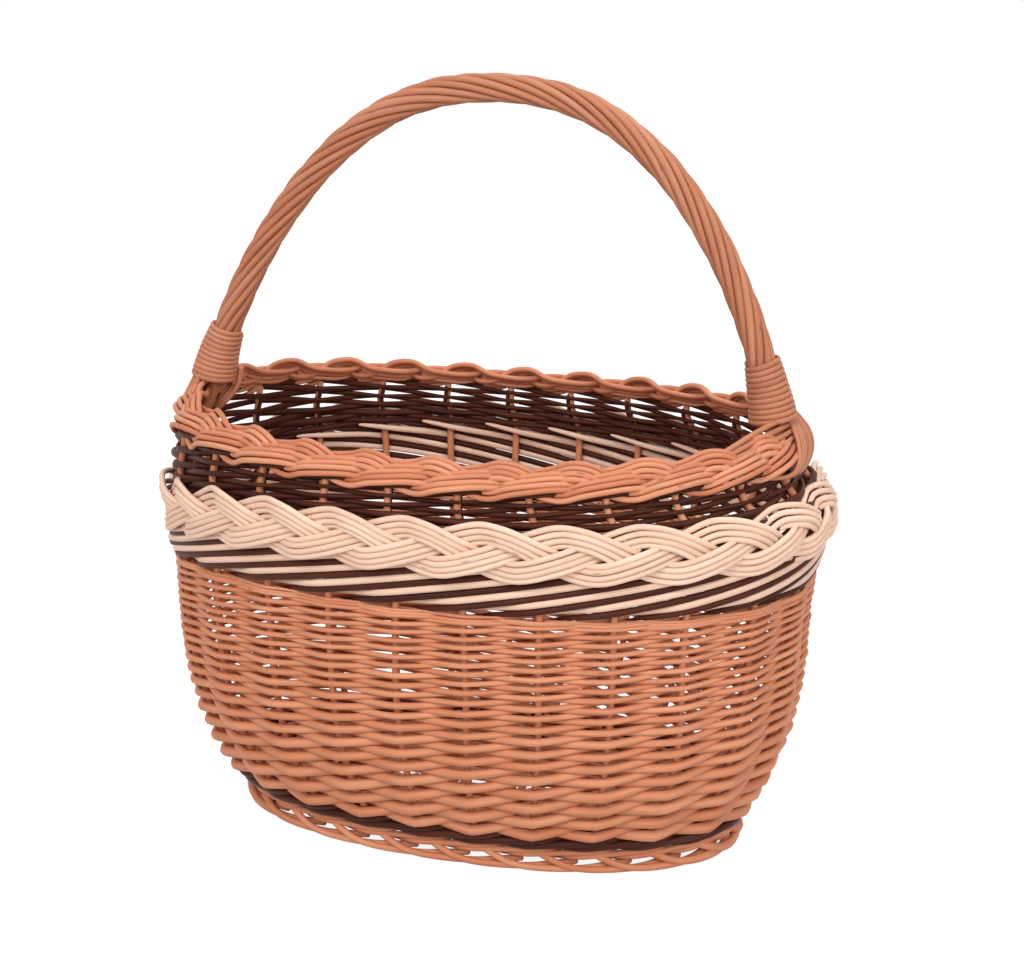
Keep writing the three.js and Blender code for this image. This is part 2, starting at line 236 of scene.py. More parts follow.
def oval(angle, axes, height, out, lean=0.0):
    """Points round an oval and the outward direction there. The plan is a superellipse of
    power 2.2, and its ends lift by the square of the cosine. The bands sag at the -X end, the
    top shifts to -X, and the ends stand out a little, unlike each other. Each point moves out
    along the direction square to the plan, tipped by lean from the level."""
    c = signed_power(np.cos(angle), 2 / PLAN_POWER)
    s = signed_power(np.sin(angle), 2 / PLAN_POWER)
    across = signed_power(c, PLAN_POWER - 1) / axes[0]
    along = signed_power(s, PLAN_POWER - 1) / axes[1]
    across, along, tip = np.broadcast_arrays(across, along, lean)
    level = unit(np.stack([across, along, np.zeros_like(across)], -1))
    face = level * np.cos(tip)[..., None] + UP * np.sin(tip)[..., None]
    lift = END_RISE * np.clip(height / RIM_TOP, 0, None) ** RISE_POWER * c ** 2
    sag = np.interp(height, SAG_HEIGHTS, SAG_SHARES)
    lift = lift - LEFT_DROP * np.clip(-c, 0, 1) ** SAG_POWER * sag
    left = -np.interp(height, LEFT_HEIGHTS, LEFT_SPREAD)
    right = np.interp(height, RIGHT_HEIGHTS, RIGHT_SPREAD)
    shift = RIM_SHIFT * part_way(height, *SHIFT_REACH) + np.where(c < 0, left, right) * c ** 2
    x, y, z, out = np.broadcast_arrays(axes[0] * c + shift, axes[1] * s, height + lift, out)
    return np.stack([x, y, z], -1) + face * out[..., None], face


def lap_table(axes):
    """Angles round an oval, the share of its length that each has covered, and its length."""
    angle = np.linspace(0, TURN, LAP_POINTS)
    points = oval(angle, axes, 0.0, 0.0)[0]
    run = np.append(0, np.cumsum(np.linalg.norm(np.diff(points, axis=0), axis=1)))
    return angle, run / run[-1], run[-1]


def lap_angle(share, table):
    """The angle at which an oval has covered the given share of its length."""
    laps = np.floor(share)
    return np.interp(share - laps, table[1], table[0]) + TURN * laps


WALL_LAP = lap_table(FULL_LINE)


def wall_axes(height):
    """Semi-axes of the wall at a height: from the foot they swell as one less a power of
    the way still to go. Under the belt the ends bulge by a sine, and near the rim the wall
    closes in by a high power."""
    swell = 1 - (1 - part_way(height, FOOT_TOP, SIDE_TOP)) ** SWELL_POWER
    closing = part_way(height, SIDE_TOP, DARK_TOP) ** CLOSING_POWER
    bulge = np.sin(np.pi * part_way(height, *BULGE_REACH))
    return [foot + (full - foot) * swell + (rim - full) * closing + end * bulge
            for foot, full, rim, end in zip(FOOT_LINE, FULL_LINE, RIM_LINE, END_BULGE)]


def wall(stake, height, out):
    """Points on the wall by stake number, height and distance out, tipped part of the way
    from the level to square to its slope."""
    angle = lap_angle((2 * np.asarray(stake) + 1) / (2 * STAKES), WALL_LAP)
    step = 0.5
    grow = [(b - a) / (2 * step) for a, b in zip(wall_axes(height - step), wall_axes(height + step))]
    slope = np.hypot(grow[0] * np.cos(angle), grow[1] * np.sin(angle)) * np.sign(grow[0])
    return oval(angle, wall_axes(height), height, out, -SLOPE_SHARE * np.arctan(slope))


def through(points, count):
    """A smooth line through given points: cubic pieces whose slope at a point is half the
    step between its two neighbours."""
    points = np.asarray(points, float)
    slope = np.gradient(points, axis=-2)
    at = np.linspace(0, points.shape[-2] - 1, count)
    first = np.minimum(at.astype(int), points.shape[-2] - 2)
    t = (at - first)[:, None]
    a, b = points[..., first, :], points[..., first + 1, :]
    ma, mb = slope[..., first, :], slope[..., first + 1, :]
    return ((2 * t ** 3 - 3 * t ** 2 + 1) * a + (t ** 3 - 2 * t ** 2 + t) * ma
            + (3 * t ** 2 - 2 * t ** 3) * b + (t ** 3 - t ** 2) * mb)


def sweep(path, face, high, deep=None, closed=False):
    """Rods of oval section carried along paths, an array of rods by points by three. The
    section at a point is the middle plus high times the cosine along the side direction plus
    deep times the sine along the face, where face is made square to the path and side is
    square to both. Open rods close with a smaller ring and a flat end. The run of a face
    corner is its distance along and around the rod, and the shade is one number for a rod."""
    path = np.asarray(path, float)
    rods, count = path.shape[:2]
    high = np.broadcast_to(high, (rods, count))
    deep = high if deep is None else np.broadcast_to(deep, (rods, count))
    girth = TURN * np.sqrt(high * deep).mean(1)
    if closed:
        tangent = np.roll(path, -1, 1) - np.roll(path, 1, 1)
    else:
        tangent = np.gradient(path, axis=1)
    tangent = unit(tangent)
    side = unit(np.cross(np.broadcast_to(face, path.shape), tangent))
    if not closed:
        tip = END_LENGTH * high[:, [0, -1], None] * tangent[:, [0, -1]]
        path = np.concatenate([path[:, :1] - tip[:, :1], path, path[:, -1:] + tip[:, 1:]], 1)
        grow = [0, *range(count), count - 1]
        shrink = np.ones(count + 2)
        shrink[[0, -1]] = END_RADIUS
        tangent, side = tangent[:, grow], side[:, grow]
        high, deep = high[:, grow] * shrink, deep[:, grow] * shrink
        count += 2
    front = np.cross(tangent, side)
    ring = np.arange(SECTION_SIDES)
    turn = TURN * ring / SECTION_SIDES - np.pi / 2
    corners = (path[:, :, None]
               + (high[..., None] * np.cos(turn))[..., None] * side[:, :, None]
               + (deep[..., None] * np.sin(turn))[..., None] * front[:, :, None])
    spans = np.arange(count if closed else count - 1)
    rod, i, k = np.meshgrid(np.arange(rods), spans, ring, indexing="ij")
    here = (rod * count + i) * SECTION_SIDES
    ahead = (rod * count + (i + 1) % count) * SECTION_SIDES
    beside = (k + 1) % SECTION_SIDES
    quads = np.stack([here + k, here + beside, ahead + beside, ahead + k], -1)
    hop = np.linalg.norm(np.diff(path, axis=1, append=path[:, :1]), axis=-1)
    run = np.concatenate([np.zeros((rods, 1)), np.cumsum(hop, 1)], 1) + GRAIN_SPREAD * rng.random((rods, 1))
    wrap = girth[:, None, None] / SECTION_SIDES
    quad_run = np.stack([
        np.stack([run[rod, i], wrap * k], -1),
        np.stack([run[rod, i], wrap * (k + 1)], -1),
        np.stack([run[rod, i + 1], wrap * (k + 1)], -1),
        np.stack([run[rod, i + 1], wrap * k], -1)], -2)
    ends = np.zeros((0, SECTION_SIDES), int)
    end_run = np.zeros((0, SECTION_SIDES, 2))
    if not closed:
        base = np.arange(rods)[:, None] * count * SECTION_SIDES
        ends = np.concatenate([base + ring[::-1], base + (count - 1) * SECTION_SIDES + ring])
        cut = np.stack(np.broadcast_arrays(run[:, [0]], girth[:, None] * ring / SECTION_SIDES), -1)
        end_run = np.concatenate([cut, cut])
    shade = np.repeat(rng.random(rods), count * SECTION_SIDES)
    return Rods(corners.reshape(-1, 3), quads.reshape(-1, 4), ends,
                quad_run.reshape(-1, 2), end_run.reshape(-1, 2), shade)


def add_piece(name, finish, slot, replaced, *swept):
    """One mesh, in metres, of all the rods that were swept for it, with their run map and a
    shade for each rod. It stands for the replaced nodes of the solid model."""
    starts = np.cumsum([0] + [len(rods.corners) for rods in swept])
    corners = np.concatenate([rods.corners for rods in swept]) * MM
    quads = np.concatenate([rods.quads + start for rods, start in zip(swept, starts)])
    ends = np.concatenate([rods.ends + start for rods, start in zip(swept, starts)])
    loops = np.concatenate([quads.ravel(), ends.ravel()]).astype(np.int32)
    sizes = np.repeat([4, SECTION_SIDES], [len(quads), len(ends)]).astype(np.int32)
    run = np.concatenate([rods.quad_run for rods in swept] + [rods.end_run for rods in swept]) * MM
    mesh = bpy.data.meshes.new(name)
    mesh.vertices.add(len(corners))
    mesh.vertices.foreach_set("co", corners.ravel())
    mesh.loops.add(len(loops))
    mesh.loops.foreach_set("vertex_index", loops)
    mesh.polygons.add(len(sizes))
    mesh.polygons.foreach_set("loop_start", np.append(0, np.cumsum(sizes)[:-1]).astype(np.int32))
    mesh.polygons.foreach_set("loop_total", sizes)
    mesh.polygons.foreach_set("use_smooth", sizes == 4)
    mesh.uv_layers.new(name="rod_run").data.foreach_set("uv", run.ravel())
    shade = mesh.attributes.new("rod_shade", "FLOAT", "POINT")
    shade.data.foreach_set("value", np.concatenate([rods.shade for rods in swept]))
    mesh.update(calc_edges=True)
    mesh.validate()
    piece = bpy.data.objects.new(name, mesh)
    bpy.context.scene.collection.objects.link(piece)
    mesh.materials.append(finish)
    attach(piece, "root")
    if replaced:
        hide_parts(*replaced)


# Finishes

# Size of each pattern along and across a rod, then where it sets in, where it is full and how
# much of the colour it takes there
CLOUD_SIZE = (40, 6)
CLOUD_COVER = (0.42, 0.72, 0.45)
FIBRE_SIZE = (30, 0.5)
FIBRE_COVER = (0.5, 0.75, 0.35)
SCAR_SPACING = (34, 9)
SCAR_COVER = (0.1, 0.05, 0.6)
FIBRE_RELIEF = 0.15


def linear(code):
    """An sRGB hex colour as linear red, green, blue and full cover."""
    value = np.array([int(code[i:i + 2], 16) for i in (1, 3, 5)]) / 255
    low, high = value / 12.92, ((value + 0.055) / 1.055) ** 2.4
    return (*np.where(value <= 0.04045, low, high), 1.0)


def node(tree, kind, inputs=None, **settings):
    """Adds a node, sets its settings, and links or sets each of its inputs."""
    made = tree.nodes.new(kind)
    for key, value in settings.items():
        setattr(made, key, value)
    for key, value in (inputs or {}).items():
        if isinstance(value, bpy.types.NodeSocket):
            tree.links.new(value, made.inputs[key])
        else:
            made.inputs[key].default_value = value
    return made


def willow(name, shade, tone, bright, scar, gloss=(0.45, 0.62), shine=0.4):
    """Peeled willow rod: a smooth satin skin over fine straight fibres. Each rod has a tone of
    its own, long cloudy patches some 40 mm by 6 mm, fibre streaks 0.5 mm wide and 30 mm long,
    and a leaf scar about 1 mm wide, drawn out along the rod, every few centimetres."""
    material = bpy.data.materials.new(name)
    material.use_nodes = True
    tree = material.node_tree
    tree.nodes.clear()
    run = node(tree, "ShaderNodeUVMap", uv_map="rod_run").outputs["UV"]
    own = node(tree, "ShaderNodeAttribute", attribute_name="rod_shade").outputs["Fac"]
    places = []
    for along, across in (CLOUD_SIZE, FIBRE_SIZE, SCAR_SPACING):
        scale = (1 / (along * MM), 1 / (across * MM), 1)
        places.append(node(tree, "ShaderNodeMapping", {"Vector": run, "Scale": scale}).outputs["Vector"])
    cloud = node(tree, "ShaderNodeTexNoise",
                 {"Vector": places[0], "Scale": 1.0, "Detail": 2.0}).outputs["Fac"]
    fibre = node(tree, "ShaderNodeTexNoise",
                 {"Vector": places[1], "Scale": 1.0, "Detail": 2.0}).outputs["Fac"]
    spots = node(tree, "ShaderNodeTexVoronoi", {"Vector": places[2], "Scale": 1.0}).outputs["Distance"]
    colour = node(tree, "ShaderNodeMix", {0: own, 6: linear(tone), 7: linear(bright)},
                  data_type="RGBA").outputs[2]
    layers = ((cloud, CLOUD_COVER, shade), (fibre, FIBRE_COVER, shade), (spots, SCAR_COVER, scar))
    for pattern, (start, full, share), over in layers:
        cover = node(tree, "ShaderNodeMapRange", {
            "Value": pattern, "From Min": start, "From Max": full, "To Max": share}).outputs[0]
        colour = node(tree, "ShaderNodeMix", {0: cover, 6: colour, 7: linear(over)},
                      data_type="RGBA").outputs[2]
    rough = node(tree, "ShaderNodeMapRange",
                 {"Value": fibre, "To Min": gloss[0], "To Max": gloss[1]}).outputs[0]
    relief = node(tree, "ShaderNodeBump", {
        "Height": fibre, "Strength": 0.25, "Distance": FIBRE_RELIEF * MM}).outputs["Normal"]
    skin = node(tree, "ShaderNodeBsdfPrincipled", {
        "Base Color": colour, "Roughness": rough, "Normal": relief, "IOR": 1.47,
        "Specular IOR Level": shine}).outputs["BSDF"]
    node(tree, "ShaderNodeOutputMaterial", {"Surface": skin})
    return material


# Buff willow is boiled in its bark and peeled, which dyes it orange tan: satin, softly streaked
wall_tan = willow("buff_willow_satin", "#AE5A34", "#CD815C", "#DE9771", "#7A4428")
rim_tan = willow("buff_willow_rim_satin", "#AE5B38", "#C57956", "#DC9874", "#7A4428")
handle_tan = willow("buff_willow_handle_satin", "#9C5636", "#B97554", "#CA8A69", "#6E3E26")
# White willow is peeled raw and dried: cream, a little darker along the fibres
cream = willow("white_willow_satin", "#DCAC90", "#EBC5AD", "#F3D1BA", "#A9744F")
# Dark willow is stained deep brown: it shows long soft lines where light runs along it
dark = willow("brown_stained_willow_satin", "#2C1009", "#411C12", "#54291B", "#1C0A05",
              gloss=(0.42, 0.55), shine=0.15)


# Wall

def wander(rods, amount, row):
    """Slow drift along each rod: three sines of random phase and rising pace, by row."""
    phase = TURN * rng.random((rods, 1, 3))
    return (amount * DRIFT_SHARE * np.sin(DRIFT_PACE * row[..., None] + phase)).sum(-1)


def randing(rows, heights, radii, drift, squeeze):
    """Long rods that all climb together: a rod starts at every stake and runs to the right,
    outside one stake and inside the next, one row higher at each. Its depth is a cosine of the
    row drawn towards a zigzag, so that it bends at the stakes and runs straight between, and
    midway, where rods cross, it is squeezed lower or, with a squeeze below zero, spread to
    close the row. Where the wall sags or lifts, a rod grows as tall as its row."""
    row = np.linspace(rows[0], rows[-1], POINTS_IN_ROW * (rows[-1] - rows[0]) + 1)[None]
    stake = np.arange(STAKES)[:, None] + row
    height = np.interp(row, rows, heights) + wander(STAKES, drift, row)
    radius = np.interp(row, rows, radii) * (1 + wander(STAKES, GIRTH_DRIFT, row))
    bend = np.arcsin(ZIGZAG * np.cos(np.pi * row)) / np.arcsin(ZIGZAG)
    swing = (STAKE_R + CLOSENESS * radius) * bend * (1 + wander(STAKES, SWING_DRIFT, row))
    path, face = wall(stake, height, swing)
    row_height = (wall(stake, height + 1, 0.0)[0] - wall(stake, height - 1, 0.0)[0])[..., 2] / 2
    row_height = np.minimum(row_height, TALLEST)
    squeeze = np.interp(row, rows, np.broadcast_to(squeeze, len(rows)))
    high = radius * row_height * (1 - squeeze * np.sin(np.pi * row) ** 2)
    return sweep(path, face, high, radius)


def wale(low, climb, radius, over=2, thin=1.0, drift=0.15, tail=1.4):
    """Short rods, one from every stake: inside that stake, outside the next few and inside the
    one after, climbing evenly. The depth turns over by a cosine. From the first and the last
    stake that a rod passes outside, its girth falls by a power to the share thin at its tail."""
    x = np.linspace(WALE_START, over + tail, WALE_POINTS * (over + 2))[None]
    inward = np.maximum(1 - x, x - over)
    depth = np.cos(np.pi * np.clip(inward, 0, 1))
    girth = radius * (thin + (1 - thin) * part_way(inward, tail, TAPER_FROM) ** TAPER_POWER)
    girth = girth * (1 + wander(STAKES, WALE_DRIFT, x))
    stake = np.arange(STAKES)[:, None] + x
    height = low + climb * x + wander(STAKES, drift, x)
    path, face = wall(stake, height, depth * (STAKE_R + radius))
    return sweep(path, face, girth, WALE_FLATNESS * girth)


def stake_rods():
    """Straight rods up the wall from the foot into the rim, drifting a little sideways."""
    height = np.linspace(*STAKE_REACH, 40)[None]
    stake = np.arange(STAKES)[:, None] + wander(STAKES, STAKE_DRIFT, height / STAKE_DRIFT_PITCH)
    path, face = wall(stake, height, 0.0)
    return sweep(path, face, STAKE_R)


def side_rods():
    """The side weave. The step from row to row falls from 5.6 mm towards 2.2 mm as one over
    one plus a power of the row, and the rods' radius with it. In the last rows only tips are
    left, which crowd together and end."""
    rows = np.arange(SIDE_ROWS[0], SIDE_ROWS[1] + 1)
    full = rows < TIP_ROWS[0]
    steps = TOP_STEP + EXTRA_STEP / (1 + (np.abs(rows) / HALF_WAY_ROW) ** STEP_POWER)
    radii = np.where(full, RADIUS_TO_STEP * steps, np.interp(rows, TIP_ROWS, TIP_RADII))
    steps = np.where(full, steps, TIP_STEP)
    heights = np.append(SIDE_FROM[0], SIDE_FROM[1] + np.append(0, np.cumsum(steps[1:-1])))
    return randing(rows, heights, radii, drift=0.25, squeeze=0.05)


def dark_rods():
    """The dark band, from behind the belt up behind the rim: its upper rods are thin, and
    spread where they cross."""
    rows = np.arange(DARK_ROWS)
    radii = np.interp(rows, DARK_CHANGE, DARK_RADII)
    squeeze = np.interp(rows, DARK_CHANGE, DARK_SQUEEZE)
    return randing(rows, DARK_FROM + DARK_STEP * rows, radii, drift=0.15, squeeze=squeeze)


def painted_shade_liners():
    """A dark rod straight up the inside of each stake, behind the dark band. It is painted shade: it
    darkens the stakes' inner faces, which lie in shadow.
    """
    height = np.linspace(*LINER_REACH, 10)[None]
    path, face = wall(np.arange(STAKES)[:, None], height, -LINER_IN)
    return sweep(path, face, LINER_R)


add_piece("stakes", wall_tan, "buff_willow", [f"stake_{j + 1:02d}" for j in range(STAKES)], stake_rods())
add_piece("side_rods", wall_tan, "buff_willow", [f"side_weave_{i}" for i in range(1, 10)], side_rods())

# Upsett: thick dark rods at the foot of the side weave
add_piece("upsett_rods", dark, "dark_willow", ["upsett_ring"], wale(low=15.0, climb=4.1, radius=2.4))

# Slanted band: a cream rod above a dark one from every stake
add_piece("slant_cream_rods", cream, "peeled_willow", ["slanted_band"],
          wale(low=176.2, climb=8.3, radius=2.3, over=4, thin=0.3, drift=0.3))
add_piece("slant_dark_rods", dark, "dark_willow", [],
          wale(low=172.2, climb=8.2, radius=2.05, over=5, thin=0.3, drift=0.3, tail=0.75))

# The dark band's piece also holds the liners: dark rods that paint the shade on the inside of the stakes
add_piece("dark_rods", dark, "dark_willow", [f"dark_weave_{i}" for i in (1, 2, 3)],
          dark_rods(), painted_shade_liners())


# Plaits

def plait(axes, middle, tilt, rise, depth, radius, gap):
    """Three-strand plait of several rods a strand, lying on an oval. A strand's height is rise
    times the sine of its phase, and its depth is minus the sine of twice that, steepened, so
    that it lies over the next strand on its way in from either edge. The phase runs slower on
    the way up and faster on the way down. Rods lie side by side, square to the strand, on a
    slight crown."""
    lap = lap_table(axes)
    share = np.arange(PLAIT_POINTS)[None, None] / PLAIT_POINTS
    strand = np.arange(3)[:, None, None]
    rod = np.arange(STRAND_RODS)[None, :, None] - (STRAND_RODS - 1) / 2
    turn = TURN * (PLAIT_REPEATS * share + strand / 3)
    phase = turn - PLAIT_LEAN * np.sin(turn)
    forward = lap[2] / (TURN * PLAIT_REPEATS)
    upward = rise * np.cos(phase) * (1 - PLAIT_LEAN * np.cos(turn))
    stretch = np.hypot(forward, upward)
    offset = rod * gap
    across = rise * np.sin(phase) + offset * forward / stretch
    along = share - offset * upward / stretch / lap[2]
    over = np.tanh(-TURNOVER * np.sin(2 * phase)) / np.tanh(TURNOVER)
    crown = STRAND_CROWN * (rod / ((STRAND_RODS - 1) / 2)) ** 2
    outward = depth * over - crown
    rods = 3 * STRAND_RODS
    angle, across, outward = (np.broadcast_to(v, (3, STRAND_RODS, PLAIT_POINTS)).reshape(rods, -1)
                              for v in (lap_angle(along, lap), across, outward))
    row = np.linspace(0, PLAIT_DRIFT_ROWS, PLAIT_POINTS)[None]
    across = across + wander(rods, PLAIT_DRIFT, row)
    outward = outward + wander(rods, PLAIT_DRIFT, row)
    height = middle + across * np.cos(tilt) + outward * np.sin(tilt)
    path, _ = oval(angle, axes, height, outward * np.cos(tilt) - across * np.sin(tilt))
    _, face = oval(angle, axes, height, 0.0, tilt)
    thick = radius * (1 + PLAIT_VARIETY * (rng.random((rods, 1)) - 0.5))
    return sweep(path, face, thick, closed=True)


add_piece("belt_plait", cream, "peeled_willow", [f"belt_strand_{i}" for i in (1, 2, 3)],
          plait(BELT_LINE, BELT_MIDDLE, tilt=0.0, rise=10.6, depth=3.0, radius=1.8, gap=3.4))
add_piece("rim_plait", rim_tan, "buff_willow", [f"rim_strand_{i}" for i in (1, 2, 3)],
          plait(BORDER_LINE, BORDER_MIDDLE, BORDER_TILT, rise=5.6, depth=3.4, radius=1.72, gap=3.5))


# Foot and base

def foot_border():
    """Open border: at each stake a rod turns down to the right, runs along the floor past the
    next stake and is tucked away inside. Each is a smooth line through set points, thicker
    towards the ends of the oval by a sixth power."""
    line = through(np.stack([FOOT_STAKES, FOOT_HEIGHTS, FOOT_OUT], -1), 56)[None]
    stake = np.arange(STAKES)[:, None] + line[..., 0]
    path, face = wall(stake, line[..., 1], line[..., 2])
    swell = FOOT_SWELL * np.clip(np.abs(path[..., 0]) / FOOT_LINE[0], 0, 1) ** FOOT_SWELL_POWER
    path[..., 2] += swell
    return sweep(path, face, FOOT_ROD_R + swell)


def base_mat():
    """Oval mat: rings one inside the other, over one spoke and under the next, each ring
    opposite to the one before. The height is a cosine of the spoke number."""
    ring = np.arange(BASE_RINGS)[:, None]
    spoke = np.linspace(0, STAKES, 12 * STAKES, endpoint=False)[None]
    angle = lap_angle(spoke / STAKES, WALL_LAP)
    path = oval(angle, [axis - BASE_PITCH * ring for axis in BASE_RING], 0.0, 0.0)[0]
    path[..., 2] = BASE_Z + BASE_WAVE * np.cos(np.pi * spoke) * np.where(ring % 2, 1, -1)
    return sweep(path, UP, *BASE_ROD, closed=True)


def base_edge():
    """Three rings that close the mat against the inside of the stakes."""
    height = np.array(EDGE_HEIGHTS)[:, None]
    angle = np.linspace(0, TURN, 240, endpoint=False)[None]
    axes = [line - STAKE_R - EDGE_INSET for line in wall_axes(height)]
    path, face = oval(angle, axes, height, 0.0)
    return sweep(path, face, EDGE_R, closed=True)


def base_spokes():
    """Straight spokes from the middle of the mat to its edge."""
    angle = lap_angle(np.arange(STAKES) / STAKES, WALL_LAP)
    inner = oval(angle, SPOKES_FROM, 0.0, 0.0)[0]
    outer = oval(angle, SPOKES_TO, 0.0, 0.0)[0]
    t = np.linspace(0, 1, 12)[None, :, None]
    path = inner[:, None] * (1 - t) + outer[:, None] * t
    path[..., 2] = BASE_Z
    return sweep(path, UP, *SPOKE_ROD)


def base_sticks():
    """Long sticks through the mat, bent down at their ends by a cube, and short ones across
    them at its middle."""
    t = np.linspace(-1, 1, 24)[None]
    long_y = STICK_APART * np.array([-1, 0, 1])[:, None]
    long_z = STICK_Z - STICK_DROP * np.abs(t) ** 3
    sticks = np.stack(np.broadcast_arrays(STICK_HALF * t, long_y, long_z), -1)
    short_x = np.linspace(-SHORT_REACH, SHORT_REACH, SHORT_STICKS)[:, None]
    cross = np.stack(np.broadcast_arrays(short_x, SHORT_HALF * t, SHORT_Z), -1)
    return [sweep(sticks, UP, STICK_R), sweep(cross, UP, SHORT_R)]


add_piece("foot_rods", wall_tan, "buff_willow", ["foot_border"],
          foot_border(), wale(low=7.2, climb=3.3, radius=2.1))
add_piece("base_mat_rods", wall_tan, "buff_willow", ["base_weave"],
          base_mat(), base_edge(), base_spokes())
add_piece("base_stick_rods", wall_tan, "buff_willow", [f"base_stick_{i}" for i in (1, 2, 3)],
          *base_sticks())


# Handle

def arch_point(angle):
    """The handle's middle line. Its half width is a power of the cosine and its height a power
    of the sine, so that the legs splay, and it shifts to +X in step with its height."""
    lift = np.sin(angle) ** RISE_SHAPE
    x = HANDLE_X * signed_power(np.cos(angle), ARCH_POWER) + FOOT_SHIFT + HANDLE_LEAN * lift
    return np.stack([x, 0 * angle, SPRING_Z + (CROWN_Z - SPRING_Z) * lift], -1)


def arch_angle(height):
    """The arch's angle on its +X side at a height."""
    return np.arcsin(((height - SPRING_Z) / (CROWN_Z - SPRING_Z)) ** (1 / RISE_SHAPE))


def arch_even(height, count):
    """Angles that part the arch above a height into equal lengths."""
    low = arch_angle(height)
    angle = np.linspace(low, np.pi - low, 2001)
    run = np.append(0, np.cumsum(np.linalg.norm(np.diff(arch_point(angle), axis=0), axis=1)))
    return np.interp(np.linspace(0, run[-1], count), run, angle)


def around_arch(angle, turn, radius):
    """Points at a turn about the arch's line and a distance from it, and the way out there.
    The turn starts on the outside of the arch, in its plane."""
    step = 1e-4
    tangent = unit(arch_point(angle + step) - arch_point(angle - step))
    across = np.broadcast_to([0, 1.0, 0], tangent.shape)
    out = np.cross(across, tangent) * np.cos(turn)[..., None] + across * np.sin(turn)[..., None]
    return arch_point(angle) + out * np.asarray(radius)[..., None], out


def handle_twist():
    """Rods laid round the core as screws of even pitch."""
    f = np.linspace(0, 1, HANDLE_POINTS)[None]
    turn = TURN * (np.arange(HANDLE_RODS)[:, None] / HANDLE_RODS + HANDLE_TURNS * f)
    angle = np.broadcast_to(arch_even(TWIST_FROM, HANDLE_POINTS), turn.shape)
    radius = HANDLE_R - HANDLE_ROD_R + wander(HANDLE_RODS, HANDLE_DRIFT, f * 40)
    path, face = around_arch(angle, turn, radius)
    return sweep(path, face, HANDLE_ROD_R * (1 + wander(HANDLE_RODS, GIRTH_DRIFT, f * 12)))


def handle_core():
    """One rod along the arch and down inside the wall at both ends, where it is drawn thin."""
    right = np.array([[190.0, 0, 216.0], [188.0, 0, 232.0], [181.0, 0, 250.0], [173.5, 0, 263.0]])
    left = np.array([[-183.5, 0, 263.0], [-189.0, 0, 250.0], [-195.0, 0, 232.0], [-197.0, 0, 216.0]])
    line = np.concatenate([right, arch_point(arch_even(CORE_FROM, 60)), left])
    path = through(line, 200)[None]
    return sweep(path, np.array([0, 1.0, 0]), np.interp(path[..., 2], CORE_HEIGHTS, CORE_RADII))


def binding(side):
    """A thin flat rod wound tightly round the foot of the handle, wider towards the bottom."""
    f = np.linspace(0, 1, 30 * BINDING_TURNS)[None]
    low, top = BINDING_REACH[side]
    angle = arch_angle(low + (top - low) * f)
    if side < 0:
        angle = np.pi - angle
    turn = side * TURN * BINDING_TURNS * f + np.pi
    ripple = BINDING_RIPPLE * np.sin(RIPPLES_IN_TURN * turn)
    radius = HANDLE_R + BINDING_SEAT + BINDING_FLARE * (1 - f) ** FLARE_POWER + ripple
    path, face = around_arch(angle, turn, radius)
    return sweep(path, face, *BINDING_ROD)


def tail_rods(first, last, rods, radius):
    """Rods side by side between a first and a last line, each smooth through its points. Their
    faces look away from a point inside the basket's end."""
    share = np.linspace(0, 1, rods)[:, None, None]
    points = np.asarray(first, float) * (1 - share) + np.asarray(last, float) * share
    path = through(points, 48)
    inside = np.array([TAIL_HEART_X * np.sign(points[0, 0, 0]), 0.0, TAIL_HEART_Z])
    return sweep(path, unit(path - inside), radius)


add_piece("handle_twist", handle_tan, "buff_willow", [f"handle_rod_{i}" for i in range(1, 7)],
          handle_twist())
add_piece("handle_core_rod", handle_tan, "buff_willow", ["handle_core"], handle_core())
for side, end in ((1, "right"), (-1, "left")):
    add_piece(f"binding_{end}_rod", handle_tan, "buff_willow", [f"binding_{end}"], binding(side))

# Tails: at each end some rods run down outside the rim, others along it or inside it
right_over = tail_rods(
    [[176, -6, 281], [183, -2, 271], [188, -8, 265], [191, -13, 259], [192, -18, 253],
     [191, -24, 248], [187, -31, 246], [178, -41, 247]],
    [[177, 8, 281], [186, 12, 271], [192, 11, 264], [195, 8, 257], [195, 3, 250],
     [193, -6, 245], [188, -18, 243], [181, -29, 245]], rods=6, radius=1.4)
right_along = tail_rods(
    [[182, 4, 272], [178, -10, 273], [172, -24, 272], [166, -38, 270], [158, -52, 266],
     [148, -62, 261]],
    [[187, 2, 263], [184, -14, 262], [179, -28, 261], [172, -42, 260], [162, -55, 258],
     [150, -64, 256]], rods=4, radius=1.6)
add_piece("tail_right_rods", handle_tan, "buff_willow", ["handle_tail_right"], right_over, right_along)
left_over = tail_rods(
    [[-184, -8, 282], [-193, -5, 271], [-196, -10, 263], [-197, -16, 258], [-196, -24, 254],
     [-192, -32, 250], [-186, -40, 249]],
    [[-182, -10, 282], [-188, -12, 271], [-190, -12, 265], [-193, -12, 260], [-195, -15, 255],
     [-194, -20, 250], [-190, -27, 246]], rods=5, radius=1.5)
left_inside = tail_rods(
    [[-172, 4, 276], [-172.5, 4, 269], [-175.5, 4, 262], [-180, 4, 256], [-185, 4, 249]],
    [[-164.5, 0, 276], [-165.4, 0, 270], [-168, 0, 263], [-175, 0, 254.5], [-182, 0, 248]],
    rods=3, radius=1.6)
add_piece("tail_left_rods", handle_tan, "buff_willow", ["handle_tail_left"], left_over, left_inside)


# Studio, in metres

FLOOR_HALF = 20
FLOOR_GLOW = 1.5
FLOOR_GLOW_SHARE = 0.6
SKY_LIGHT = 0.5
SKY_SEEN = 1.0
LAMP_AIM = Vector((0, 0, 0.2))


def plainly_seen(tree):
    """One for rays from the camera, from a mirror or through glass, and nought for others."""
    rays = node(tree, "ShaderNodeLightPath").outputs
    mirrored = node(tree, "ShaderNodeMath", {0: rays["Is Glossy Ray"], 1: rays["Is Transmission Ray"]},
                    operation="MAXIMUM").outputs[0]
    return node(tree, "ShaderNodeMath", {0: rays["Is Camera Ray"], 1: mirrored},
                operation="MAXIMUM").outputs[0]


